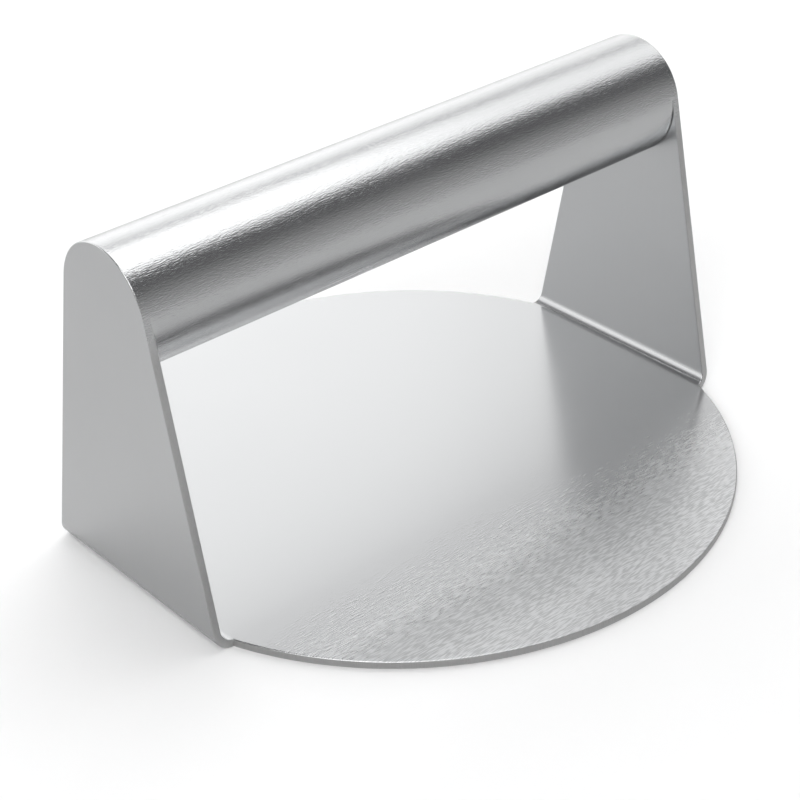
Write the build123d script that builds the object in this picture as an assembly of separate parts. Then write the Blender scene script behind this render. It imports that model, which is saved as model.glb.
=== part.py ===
"""Round patty press: one folded stainless sheet and a tube handle.

The sheet is cut as a disc with two tapering arms, and both arms are folded up square. The disc is
the pressing plate and the arms are the uprights. A tube spans the uprights, as thick as their tops
are round, and a weld ground flush with both closes each of its ends.

Millimetres. The origin is the centre of the plate's underside, +X runs along the handle, +Z is up.
"""

import os
from math import asin, atan2, cos, hypot, pi, radians, sin, sqrt, tan

from build123d import *

# Driving dimensions
plate_diameter = 140.0
sheet = 1.7  # thickness of the folded sheet
bend_radius = 2.0  # inside radius of both folds
foot_width = 52.0  # width of an upright at its fold line
handle_diameter = 25.0
handle_wall = 1.5
handle_height = 62.5  # height of the handle's axis above the plate's underside
weld_leg = 1.0  # how far each weld reaches along the tube and into its wall

fold_stations = 7  # places round a fold where its width is set

# The fold line is the disc's chord that is as long as the foot is wide
plate_radius = plate_diameter / 2
foot_half = foot_width / 2
fold_x = sqrt(plate_radius**2 - foot_half**2)
upright_start = bend_radius + sheet  # height where the fold ends and an upright is flat
inner_face = fold_x + bend_radius  # an upright's inside face

# The tube runs from face to face, and the uprights' round tops have its radius
handle_radius = handle_diameter / 2
handle_length = 2 * inner_face

# In the flat sheet an arm's sides are straight from its foot to where they run into its round top,
# so they go on tapering round the fold. A fold is as long as the middle of its sheet.
fold_length = (bend_radius + sheet / 2) * pi / 2
flat_rise = handle_height - upright_start + fold_length  # fold line to handle, in the flat sheet
side_taper = atan2(foot_half, flat_rise) - asin(handle_radius / hypot(foot_half, flat_rise))


def arm_width(along):
    """An arm's width at a distance from its fold line, in the flat sheet."""
    return foot_width - 2 * along * tan(side_taper)


def disc():
    """The flat part of the plate, cut off square at both fold lines."""
    above = (Align.CENTER, Align.CENTER, Align.MIN)
    between_folds = Box(2 * fold_x, plate_diameter, sheet, align=above)
    return Cylinder(plate_radius, sheet, align=above) & between_folds


def fold():
    """The right fold: a quarter turn of the sheet, with its sides tapering as it turns."""
    axis = Axis((fold_x, 0, upright_start), (0, 1, 0))
    sheet_middle = bend_radius + sheet / 2
    foot = Plane.XY.offset(upright_start) * Pos(fold_x + sheet_middle, 0) * Rectangle(sheet, foot_width)
    quarter_turn = revolve(foot, axis, 90)
    widths = []
    for station in range(fold_stations):
        share = station / (fold_stations - 1)  # 0 at the plate, 1 at the upright
        turn = radians(90 * share)
        outwards = (sin(turn), 0, -cos(turn))
        section = Plane(origin=axis.position, x_dir=outwards, z_dir=(cos(turn), 0, sin(turn)))
        width = arm_width(share * fold_length)
        widths.append(section * Pos(sheet_middle, 0) * Rectangle(bend_radius + sheet, width))
    return quarter_turn & loft(widths)


def upright():
    """The right upright: straight sides that run into the round top without a corner."""
    start_half = arm_width(fold_length) / 2
    shoulder_y = handle_radius * cos(side_taper)
    shoulder_z = handle_height + handle_radius * sin(side_taper)
    with BuildSketch(Plane.YZ.offset(inner_face)) as outline:
        with BuildLine():
            Polyline(
                (shoulder_y, shoulder_z),
                (start_half, upright_start),
                (-start_half, upright_start),
                (-shoulder_y, shoulder_z),
            )
            ThreePointArc(
                (-shoulder_y, shoulder_z),
                (0, handle_height + handle_radius),
                (shoulder_y, shoulder_z),
            )
        make_face()
    return extrude(outline.sketch, sheet)


def folded_plate():
    """The whole sheet: plate, two folds and two uprights in one piece."""
    arm = fold() + upright()
    return disc() + arm + mirror(arm, Plane.YZ)


def handle_tube():
    """The tube, with the outside of both ends bevelled for the welds."""
    inside = Cylinder(handle_radius - handle_wall, handle_length)
    tube = Rot(0, 90, 0) * (Cylinder(handle_radius, handle_length) - inside)
    ends = tube.faces().sort_by(Axis.X)
    rims = [end.outer_wire().edge() for end in (ends[0], ends[-1])]
    return Pos(0, 0, handle_height) * chamfer(rims, weld_leg)


def handle_weld(side):
    """The ring of weld that fills one end's bevel, ground flush. side is -1 left, 1 right."""
    face_x = side * inner_face
    top = handle_height + handle_radius
    with BuildSketch(Plane.XZ) as bead:
        with BuildLine():
            Polyline(
                (face_x, top),
                (face_x - side * weld_leg, top),
                (face_x, top - weld_leg),
                close=True,
            )
        make_face()
    return revolve(bead.sketch, Axis((0, 0, handle_height), (1, 0, 0)))


def main():
    nodes = {
        "folded_plate": folded_plate(),
        "handle_tube": handle_tube(),
        "handle_weld_left": handle_weld(-1),
        "handle_weld_right": handle_weld(1),
    }
    os.makedirs("parts", exist_ok=True)
    for name, piece in nodes.items():
        export_step(piece, f"parts/{name}.step")


main()
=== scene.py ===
"""The looks of a round patty press: satin and brushed stainless sheet and tube, on a pale floor."""

from math import asin, atan2, cos, hypot, pi, radians, sin, sqrt, tan

import bmesh
import bpy
from mathutils import Matrix, Quaternion, Vector


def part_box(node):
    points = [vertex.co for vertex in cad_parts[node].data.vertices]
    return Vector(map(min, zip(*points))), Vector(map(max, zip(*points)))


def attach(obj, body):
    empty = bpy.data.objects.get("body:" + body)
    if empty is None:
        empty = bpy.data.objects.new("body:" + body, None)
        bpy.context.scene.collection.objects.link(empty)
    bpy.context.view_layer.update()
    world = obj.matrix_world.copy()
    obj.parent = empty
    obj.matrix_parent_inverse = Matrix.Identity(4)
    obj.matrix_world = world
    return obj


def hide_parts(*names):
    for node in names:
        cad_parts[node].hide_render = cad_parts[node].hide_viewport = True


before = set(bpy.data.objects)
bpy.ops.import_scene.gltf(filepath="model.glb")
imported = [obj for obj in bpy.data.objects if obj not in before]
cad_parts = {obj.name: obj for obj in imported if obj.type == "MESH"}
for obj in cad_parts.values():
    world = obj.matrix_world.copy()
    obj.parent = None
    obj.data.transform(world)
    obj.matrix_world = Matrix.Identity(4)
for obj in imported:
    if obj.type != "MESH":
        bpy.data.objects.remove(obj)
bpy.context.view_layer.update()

MM = 0.001

# Sizes read off the frame
PLATE_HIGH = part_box("folded_plate")[1]
TUBE_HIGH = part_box("handle_tube")[1]
WELD_LOW, WELD_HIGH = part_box("handle_weld_right")
INNER_FACE = TUBE_HIGH.x  # where each upright's inside face is
SHEET = PLATE_HIGH.x - TUBE_HIGH.x  # thickness
WELD_LEG = WELD_HIGH.x - WELD_LOW.x

# Sizes that the frame's boxes don't show exactly, as the CAD model has them
PLATE_RADIUS = 70 * MM
BEND_RADIUS = 2 * MM
HANDLE_RADIUS = 12.5 * MM
HANDLE_WALL = 1.5 * MM

# What follows from those sizes
HANDLE_HEIGHT = PLATE_HIGH.z - HANDLE_RADIUS
FOLD_X = INNER_FACE - BEND_RADIUS
FOOT_HALF = sqrt(PLATE_RADIUS**2 - FOLD_X**2)
UPRIGHT_START = BEND_RADIUS + SHEET  # height at which a fold ends
FOLD_LENGTH = (BEND_RADIUS + SHEET / 2) * pi / 2
FLAT_RISE = HANDLE_HEIGHT - UPRIGHT_START + FOLD_LENGTH
SIDE_TAPER = atan2(FOOT_HALF, FLAT_RISE) - asin(HANDLE_RADIUS / hypot(FOOT_HALF, FLAT_RISE))

# Fineness of the meshes
RIM_SEGMENTS = 360
FOLD_STEPS = 16
TOP_STEPS = 64
TUBE_STEPS = 192
EDGE_SEGMENTS = 3
TOUCHING = 0.001 * MM  # closer than this is the same place
SMOOTH_BELOW = radians(35)  # faces that meet at less than this shade as one surface

# Edges and welds
EDGE_BREAK = 0.25 * MM  # radius of the sheet's deburred edges
UNDERCUT = 0.25 * MM  # width of the dark line under each weld
UNDERCUT_DEPTH_LEFT = 0.12 * MM
UNDERCUT_DEPTH_RIGHT = 0.5 * MM
UNDERCUT_RUN_IN = radians(14)  # how far below the upright's shoulder it reaches its full depth
LIP_RUN_OUT = radians(11)  # how far below the shoulder the weld still fills the sheet's broken edge

# Colours
STEEL_LIGHT = (0.56, 0.565, 0.57, 1)
STEEL_DARK = (0.47, 0.475, 0.48, 1)
# The coarse grain's dashes run between these two; the light end is also reached as painted highlight toward
# the rim and to the right
SCRATCH_LIGHT_AND_PAINTED_HIGHLIGHT = (0.62, 0.625, 0.63, 1)
SCRATCH_DARK = (0.42, 0.425, 0.43, 1)
EDGE_LIGHT = (0.52, 0.52, 0.52, 1)
EDGE_DARK = (0.41, 0.41, 0.41, 1)
FLOOR_SEEN = (0.95, 0.95, 0.95, 1)
FLOOR_MIRRORED = (0.72, 0.72, 0.72, 1)

# Finishes
GRAIN_DEPTH = 0.11 * MM
FINE_UP_TO = 30 * MM  # in front of the handle, the grain is fine up to here
COARSE_FROM = 50 * MM
FRAYED_OVER = 30 * MM  # how unevenly it starts, dash by dash
GRAIN_FADES_AND_PAINTED_LIGHT_FROM = 0.5 * PLATE_RADIUS  # to the right, the coarse grain grows fainter and the coarse front is painted lighter, a painted highlight
GRAIN_FAINTEST_AND_PAINTED_LIGHTEST_FROM = 0.9 * PLATE_RADIUS
NOISE_TURN = (0.4, 0.5, 0.3)  # keeps the noise's own grid off the axes

# Studio
FLOOR_HALF = 4.0
FLOOR_GAP = 0.03 * MM
PANEL = 2 * MM  # thickness of each light

# Camera
CAMERA_AZIMUTH = radians(-41.06)
CAMERA_ELEVATION = radians(31.92)
CAMERA_ROLL = radians(-1.42)
CAMERA_DISTANCE = 418.3 * MM
CAMERA_AIM = Vector((4.06, 4.84, 10.13)) * MM
CAMERA_LENS = 88.9


def arm_half_width(along):
    """Half an arm's width at a distance from its fold line, in the flat sheet."""
    return FOOT_HALF - along * tan(SIDE_TAPER)


def finished_piece(name, shape, *materials):
    """A mesh object from a bmesh, smooth where its faces nearly line up."""
    mesh = bpy.data.meshes.new(name)
    shape.to_mesh(mesh)
    shape.free()
    for material in materials:
        mesh.materials.append(material)
    mesh.shade_smooth()
    mesh.set_sharp_from_angle(angle=SMOOTH_BELOW)
    piece = bpy.data.objects.new(name, mesh)
    bpy.context.scene.collection.objects.link(piece)
    return piece


def shade_flats_flat(piece):
    """Lets a piece's large faces keep their own normals, so that only the small ones between blend."""
    weighting = piece.modifiers.new("large faces stay flat", "WEIGHTED_NORMAL")
    weighting.keep_sharp = True


def cut_blank_disc(shape):
    """The underside of the disc, cut off square at both fold lines."""
    bmesh.ops.create_circle(shape, cap_ends=True, radius=PLATE_RADIUS, segments=RIM_SEGMENTS)
    for side in (-1, 1):
        bmesh.ops.bisect_plane(
            shape,
            geom=shape.verts[:] + shape.edges[:] + shape.faces[:],
            plane_co=(side * FOLD_X, 0, 0),
            plane_no=(side, 0, 0),
            clear_outer=True,
        )
    bmesh.ops.recalc_face_normals(shape, faces=shape.faces)
    if shape.faces[:][0].normal.z > 0:
        bmesh.ops.reverse_faces(shape, faces=shape.faces)


def fold_arm(shape, side):
    """Turns the arm up round its fold line, tapering as it goes, and returns its last edge."""
    chord = [edge for edge in shape.edges if all(abs(v.co.x - side * FOLD_X) < TOUCHING for v in edge.verts)]
    axis_point = Vector((side * FOLD_X, 0, UPRIGHT_START))
    turned = bmesh.ops.spin(
        shape, geom=chord, cent=axis_point, axis=(0, -side, 0), angle=pi / 2, steps=FOLD_STEPS
    )
    for vert in {v for edge in shape.edges for v in edge.verts if v.co.x * side > FOLD_X + TOUCHING}:
        share = atan2(vert.co.x * side - FOLD_X, UPRIGHT_START - vert.co.z) / (pi / 2)
        vert.co.y *= arm_half_width(share * FOLD_LENGTH) / FOOT_HALF
    return [item for item in turned["geom_last"] if isinstance(item, bmesh.types.BMEdge)][0]


def raise_upright(shape, side, foot):
    """The flat of an upright above its foot edge: straight sides and a round top."""
    near, far = sorted(foot.verts, key=lambda v: v.co.y)
    outer_x = side * (FOLD_X + UPRIGHT_START)
    shoulder_y = HANDLE_RADIUS * cos(SIDE_TAPER)
    shoulder_z = HANDLE_HEIGHT + HANDLE_RADIUS * sin(SIDE_TAPER)
    shoulder = shape.verts.new((outer_x, -shoulder_y, shoulder_z))
    before = set(shape.verts)
    bmesh.ops.spin(
        shape,
        geom=[shoulder],
        cent=(outer_x, 0, HANDLE_HEIGHT),
        axis=(-1, 0, 0),
        angle=pi - 2 * SIDE_TAPER,
        steps=TOP_STEPS,
    )
    top = sorted(set(shape.verts) - before, key=lambda v: v.co.y)
    outline = [near, shoulder, *top, far]
    face = shape.faces.new(outline)
    if face.normal.x * side < 0:
        face.normal_flip()


def folded_plate(sheet_finish, cut_finish):
    """The folded sheet: a blank, folded, given its thickness and deburred."""
    shape = bmesh.new()
    cut_blank_disc(shape)
    for side in (-1, 1):
        raise_upright(shape, side, fold_arm(shape, side))
    bmesh.ops.remove_doubles(shape, verts=shape.verts, dist=TOUCHING)
    bmesh.ops.recalc_face_normals(shape, faces=shape.faces)
    outer_skin = shape.faces[:]
    if min(outer_skin, key=lambda f: f.calc_center_median().z).normal.z > 0:
        bmesh.ops.reverse_faces(shape, faces=outer_skin)
    grown = bmesh.ops.solidify(shape, geom=outer_skin, thickness=SHEET)["geom"]
    skin = set(outer_skin) | {item for item in grown if isinstance(item, bmesh.types.BMFace)}
    for face in shape.faces:
        face.material_index = 0 if face in skin else 1
    bmesh.ops.bevel(
        shape,
        geom=[edge for edge in shape.edges if len({f.material_index for f in edge.link_faces}) == 2],
        offset=EDGE_BREAK,
        offset_type="OFFSET",
        segments=EDGE_SEGMENTS,
        profile=0.5,
        affect="EDGES",
        material=-1,
    )
    return finished_piece("folded_sheet", shape, sheet_finish, cut_finish)


def turned_ring(shape, outline):
    """A solid of revolution about the handle's axis from a closed outline of (x, radius) points."""
    corners = [shape.verts.new((x, 0, HANDLE_HEIGHT + radius)) for x, radius in outline]
    loop = [shape.edges.new((start, end)) for start, end in zip(corners, corners[1:] + corners[:1])]
    bmesh.ops.spin(
        shape,
        geom=corners + loop,
        cent=(0, 0, HANDLE_HEIGHT),
        axis=(1, 0, 0),
        angle=2 * pi,
        steps=TUBE_STEPS,
        use_merge=True,
    )
    bmesh.ops.remove_doubles(shape, verts=shape.verts, dist=TOUCHING / 10)
    bmesh.ops.recalc_face_normals(shape, faces=shape.faces)


def handle_tube(finish):
    """The tube, hollow, with the outside of its ends bevelled for the welds."""
    shape = bmesh.new()
    bore = HANDLE_RADIUS - HANDLE_WALL
    turned_ring(shape, [
        (-INNER_FACE + WELD_LEG, HANDLE_RADIUS),
        (INNER_FACE - WELD_LEG, HANDLE_RADIUS),
        (INNER_FACE, HANDLE_RADIUS - WELD_LEG),
        (INNER_FACE, bore),
        (-INNER_FACE, bore),
        (-INNER_FACE, HANDLE_RADIUS - WELD_LEG),
    ])
    return finished_piece("tube", shape, finish)


def share_of(turn, whole):
    """How much of a whole turn has been made, from 0 to 1."""
    return min(max(turn / whole, 0), 1)


def handle_weld(name, side, undercut_depth, finish):
    """A weld ring: flush over the upright's round top, with a fine undercut where the upright is wider."""
    shape = bmesh.new()
    face_x = side * INNER_FACE
    turned_ring(shape, [
        (face_x - side * WELD_LEG, HANDLE_RADIUS),
        (face_x - side * UNDERCUT, HANDLE_RADIUS),
        (face_x - side * UNDERCUT / 3, HANDLE_RADIUS),
        (face_x, HANDLE_RADIUS),
        (face_x, HANDLE_RADIUS - EDGE_BREAK),
        (face_x, HANDLE_RADIUS - WELD_LEG),
    ])
    for vert in shape.verts:
        across, rise = vert.co.y, vert.co.z - HANDLE_HEIGHT
        on_the_outside = hypot(across, rise) > HANDLE_RADIUS - TOUCHING
        if not on_the_outside or abs(vert.co.x - face_x) > UNDERCUT / 2:
            continue
        below_shoulder = SIDE_TAPER - atan2(rise, abs(across))
        if abs(vert.co.x - face_x) < TOUCHING:
            vert.co.x += side * EDGE_BREAK * (1 - share_of(below_shoulder, LIP_RUN_OUT))
        depth = undercut_depth * share_of(below_shoulder, UNDERCUT_RUN_IN)
        vert.co.yz = Vector((0, HANDLE_HEIGHT)) + Vector((across, rise)) * (1 - depth / HANDLE_RADIUS)
    return finished_piece(name, shape, finish)


class Value:
    """A number, colour or vector that varies over a surface. Arithmetic on it adds Math nodes."""

    def __init__(self, finish, socket):
        self.finish = finish
        self.socket = socket

    def math(self, operation, first, second):
        """The value that a Math node makes of two."""
        return self.finish.node("ShaderNodeMath", {"operation": operation}, {0: first, 1: second})

    def __add__(self, other):
        return self.math("ADD", self, other)

    def __sub__(self, other):
        return self.math("SUBTRACT", self, other)

    def __mul__(self, other):
        return self.math("MULTIPLY", self, other)

    def __rsub__(self, other):
        return self.math("SUBTRACT", other, self)

    __radd__ = __add__
    __rmul__ = __mul__


class Finish:
    """A procedural material and the nodes that it is made of."""

    def __init__(self, name):
        self.material = bpy.data.materials.new(name)
        self.material.use_nodes = True
        self.tree = self.material.node_tree
        self.shader = self.tree.nodes["Principled BSDF"]

    def plug(self, socket, value):
        """Sets a socket to a constant, or links it to what varies."""
        if isinstance(value, Value):
            self.tree.links.new(value.socket, socket)
        else:
            socket.default_value = value

    def node(self, kind, settings, inputs, output=0):
        """Adds a node, makes its settings, plugs its inputs, and returns one of its outputs."""
        made = self.tree.nodes.new(kind)
        for name, setting in settings.items():
            setattr(made, name, setting)
        for name, value in inputs.items():
            self.plug(made.inputs[name], value)
        return Value(self, made.outputs[output])

    def set(self, **inputs):
        """Plugs the shader's sockets, named as Blender names them but in small letters."""
        for name, value in inputs.items():
            socket = name.replace("_", " ").title().replace("Ior", "IOR")
            self.plug(self.shader.inputs[socket], value)

    def noise(self, cell, detail=2.0):
        """Noise whose cells have that size along X, Y and Z, in metres."""
        point = self.node("ShaderNodeTexCoord", {}, {}, "Object")
        per_cell = [1 / size for size in cell]
        stretched = self.node(
            "ShaderNodeMapping", {}, {"Vector": point, "Scale": per_cell, "Rotation": NOISE_TURN}
        )
        return self.node("ShaderNodeTexNoise", {}, {"Vector": stretched, "Scale": 1.0, "Detail": detail})

    def place(self, axis):
        """Where the surface is along one axis, in metres."""
        point = self.node("ShaderNodeTexCoord", {}, {}, "Object")
        return self.node("ShaderNodeSeparateXYZ", {}, {"Vector": point}, axis)

    def rise(self, low, high):
        """0 at one height, 1 at another, and evenly between."""
        height = self.place("Z")
        return self.node("ShaderNodeMapRange", {}, {"Value": height, "From Min": low, "From Max": high})

    def ramp(self, value, low, high):
        """0 below low, 1 above high, and a smooth rise between."""
        return self.node(
            "ShaderNodeMapRange", {"interpolation_type": "SMOOTHSTEP"},
            {"Value": value, "From Min": low, "From Max": high},
        )

    def blend(self, share, first, second):
        """A colour between two."""
        return self.node("ShaderNodeMix", {"data_type": "RGBA"}, {0: share, 6: first, 7: second}, 2)

    def bump(self, height, depth):
        """The surface's normal, as a varying height tilts it."""
        return self.node("ShaderNodeBump", {}, {"Height": height, "Distance": depth})


def brushed_sheet():
    """Stainless sheet in satin, with a straight grain that is coarse along the front of the plate's top. Its
    colour also holds painted highlights: the uprights are painted lighter than the plate, and the coarse
    front is painted lighter toward the rim and to the right.
    """
    finish = Finish("brushed_sheet")
    hairlines = finish.noise((14 * MM, 0.4 * MM, 14 * MM), detail=1.0)
    dashes = finish.noise((1.8 * MM, 0.22 * MM, 1.8 * MM), detail=0.0)
    clouds = finish.noise((30 * MM, 22 * MM, 30 * MM), detail=3.0)
    forward = 0 - finish.place("Y")
    frayed = forward + FRAYED_OVER * (dashes - 0.5)
    on_top = finish.ramp(finish.place("Z"), 0, SHEET)
    coarse = on_top * finish.ramp(frayed, FINE_UP_TO, COARSE_FROM)
    # Toward the rim: roughens the coarse front and paints it lighter, a painted highlight
    near_rim = finish.ramp(forward, FINE_UP_TO, PLATE_RADIUS)
    # 0 on the plate, 1 on the uprights: makes them rougher, and paints them lighter than the plate, a painted
    #                                    highlight
    upright = finish.ramp(finish.place("Z"), SHEET, UPRIGHT_START)
    # 1 toward the right: fades the coarse grain, and paints the coarse front lighter there, a painted
    #                     highlight
    right = finish.ramp(finish.place("X"), GRAIN_FADES_AND_PAINTED_LIGHT_FROM, GRAIN_FAINTEST_AND_PAINTED_LIGHTEST_FROM)
    worn = coarse * (1 - 0.8 * right)
    # The uprights' share paints them lighter: a painted highlight on the same steel as the plate
    satin = finish.blend(0.2 + 0.1 * hairlines + 0.35 * clouds + 0.35 * upright, STEEL_DARK, STEEL_LIGHT)
    satin_roughness = 0.187 + 0.05 * clouds + 0.02 * hairlines + 0.07 * upright
    # The dashes give the grain's own light and dark; the lift toward the rim and to the right is painted
    # highlight
    scratch_and_painted_highlight = 0.35 + (finish.ramp(dashes, 0.3, 0.7) - 0.5) * worn + 0.3 * near_rim + 0.5 * right
    finish.set(
        metallic=1.0,
        base_color=finish.blend(coarse, satin, finish.blend(scratch_and_painted_highlight, SCRATCH_DARK, SCRATCH_LIGHT_AND_PAINTED_HIGHLIGHT)),
        roughness=satin_roughness + 0.08 * coarse + 0.035 * near_rim,
        normal=finish.bump(0.12 * dashes * worn, GRAIN_DEPTH),
    )
    return finish.material


def along_the_handle(finish):
    """The polish that runs the length of the handle and over the welds: its dashes and its hairlines."""
    dashes = finish.noise((1.1 * MM, 0.21 * MM, 0.21 * MM), detail=1.0)
    hairlines = finish.noise((20 * MM, 0.12 * MM, 0.12 * MM))
    return 0.34 * dashes, hairlines


def cut_edge():
    """The sheet's cut edge: dull and marked across, but polished with the handle over the round tops."""
    finish = Finish("cut_edge")
    dashes, hairlines = along_the_handle(finish)
    marks = finish.noise((0.15 * MM, 0.15 * MM, 3 * MM))
    on_top = finish.ramp(finish.place("Z"), HANDLE_HEIGHT - HANDLE_RADIUS / 2, HANDLE_HEIGHT)
    cut = finish.blend(marks, EDGE_DARK, EDGE_LIGHT)
    polished = finish.blend(hairlines, STEEL_DARK, STEEL_LIGHT)
    finish.set(
        metallic=1.0,
        base_color=finish.blend(on_top, cut, polished),
        roughness=0.36 + 0.08 * marks - 0.14 * on_top,
        normal=finish.bump(marks + (dashes - marks) * on_top, GRAIN_DEPTH),
    )
    return finish.material


def brushed_tube():
    """Stainless tube polished along its length."""
    finish = Finish("brushed_tube")
    dashes, hairlines = along_the_handle(finish)
    clouds = finish.noise((30 * MM, 20 * MM, 20 * MM), detail=3.0)
    finish.set(
        metallic=1.0,
        base_color=finish.blend(hairlines * 0.6 + clouds * 0.4, STEEL_DARK, STEEL_LIGHT),
        roughness=0.22 + 0.05 * clouds + 0.04 * hairlines,
        normal=finish.bump(dashes, GRAIN_DEPTH),
    )
    return finish.material


def ground_weld():
    """The ground welds, which take the tube's finish."""
    finish = Finish("ground_weld")
    dashes, hairlines = along_the_handle(finish)
    finish.set(
        metallic=1.0,
        base_color=finish.blend(hairlines, STEEL_DARK, STEEL_LIGHT),
        roughness=0.23 + 0.04 * hairlines,
        normal=finish.bump(dashes, GRAIN_DEPTH),
    )
    return finish.material


def build_press():
    """The four pieces, each in the place of its CAD node."""
    sheet = folded_plate(brushed_sheet(), cut_edge())
    shade_flats_flat(sheet)
    weld_finish = ground_weld()
    pieces = {
        "folded_plate": (sheet, "brushed_sheet"),
        "handle_tube": (handle_tube(brushed_tube()), "brushed_tube"),
        "handle_weld_left": (handle_weld("weld_left", -1, UNDERCUT_DEPTH_LEFT, weld_finish), "ground_weld"),
        "handle_weld_right": (handle_weld("weld_right", 1, UNDERCUT_DEPTH_RIGHT, weld_finish), "ground_weld"),
    }
    for node, (piece, slot) in pieces.items():
        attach(piece, "root")
        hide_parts(node)


def glowing_panel(name, low, high, brightness, top_brightness):
    """A flat soft light between two corners, which the camera doesn't see."""
    centre = (Vector(low) + Vector(high)) / 2
    size = Vector(high) - Vector(low)
    shape = bmesh.new()
    bmesh.ops.create_cube(shape, size=1)
    bmesh.ops.transform(
        shape, matrix=Matrix.Translation(centre) @ Matrix.Diagonal((*size, 1)), verts=shape.verts
    )
    glow = Finish(name)
    colour = (brightness, brightness, brightness, 1)
    if top_brightness != brightness:
        top_colour = (top_brightness, top_brightness, top_brightness, 1)
        colour = glow.blend(glow.rise(low[2], high[2]), colour, top_colour)
    glow.set(base_color=(0, 0, 0, 1), specular_ior_level=0, emission_strength=1, emission_color=colour)
    panel = finished_piece(name, shape, glow.material)
    panel.visible_camera = False


def flat_light(name, x, y, height, brightness):
    """A light that lies level, facing up and down."""
    glowing_panel(name, (x[0], y[0], height), (x[1], y[1], height + PANEL), brightness, brightness)


def wall_light(name, x, y, z, brightness, top_brightness=None):
    """A light that stands along X, facing the press."""
    if top_brightness is None:
        top_brightness = brightness
    glowing_panel(name, (x[0], y, z[0]), (x[1], y + PANEL, z[1]), brightness, top_brightness)


def pale_floor():
    """A matt floor, paler to the camera than in the steel.

    It's clear from underneath, and to the shortest rays, so that light reaches the face that stands on it.
    """
    shape = bmesh.new()
    bmesh.ops.create_grid(
        shape, x_segments=1, y_segments=1, size=FLOOR_HALF, matrix=Matrix.Translation((0, 0, -FLOOR_GAP))
    )
    finish = Finish("pale_floor")
    seen = finish.node("ShaderNodeLightPath", {}, {}, "Is Camera Ray")
    underside = finish.node("ShaderNodeNewGeometry", {}, {}, "Backfacing")
    reach = finish.node("ShaderNodeLightPath", {}, {}, "Ray Length")
    finish.set(
        base_color=finish.blend(seen, FLOOR_MIRRORED, FLOOR_SEEN),
        alpha=(1 - underside) * finish.ramp(reach, 10 * FLOOR_GAP, 20 * FLOOR_GAP),
        roughness=0.9,
        specular_ior_level=0.1,
    )
    finished_piece("floor", shape, finish.material)


def studio_light():
    """Plain soft light from all round, most of it from above and behind."""
    world = bpy.data.worlds.new("studio")
    world.use_nodes = True
    world.node_tree.nodes["Background"].inputs["Color"].default_value = (0.14, 0.14, 0.145, 1)
    bpy.context.scene.world = world
    flat_light("overhead", (0.0, 0.5), (-0.26, 0.48), 0.75, 2.4)
    flat_light("overhead_right", (0.5, 1.6), (-0.2, 0.48), 0.75, 1.55)
    flat_light("overhead_left", (-1.5, -0.3), (-1.0, -0.1), 0.9, 3.8)
    wall_light("backdrop_left", (-2.4, -0.4), 1.1, (0.0, 1.19), 1.6)
    wall_light("backdrop_middle", (-0.4, 1.06), 1.1, (0.0, 1.19), 1.66)
    wall_light("backdrop_right", (1.06, 2.6), 1.1, (0.0, 1.19), 1.5)
    wall_light("back_strip", (-0.4, 0.8), 1.05, (0.28, 0.62), 1.9)
    wall_light("front", (-1.5, 2.5), -1.102, (0.0, 0.85), 0.58, 0.2)
    flat_light("underneath", (-2.5, 2.5), (-2.5, 2.5), -0.802, 0.9)
    bpy.context.scene.view_settings.view_transform = "Standard"


def camera():
    """A short telephoto, looking down at the press from the front left."""
    data = bpy.data.cameras.new("camera")
    data.lens = CAMERA_LENS
    data.clip_start = 0.01
    eye = bpy.data.objects.new("camera", data)
    azimuth, elevation = CAMERA_AZIMUTH, CAMERA_ELEVATION
    back = Vector((sin(azimuth) * cos(elevation), -cos(azimuth) * cos(elevation), sin(elevation)))
    eye.location = CAMERA_AIM + back * CAMERA_DISTANCE
    eye.rotation_mode = "QUATERNION"
    eye.rotation_quaternion = back.to_track_quat("Z", "Y") @ Quaternion((0, 0, 1), CAMERA_ROLL)
    bpy.context.scene.collection.objects.link(eye)
    bpy.context.scene.camera = eye


camera()
build_press()
pale_floor()
studio_light()
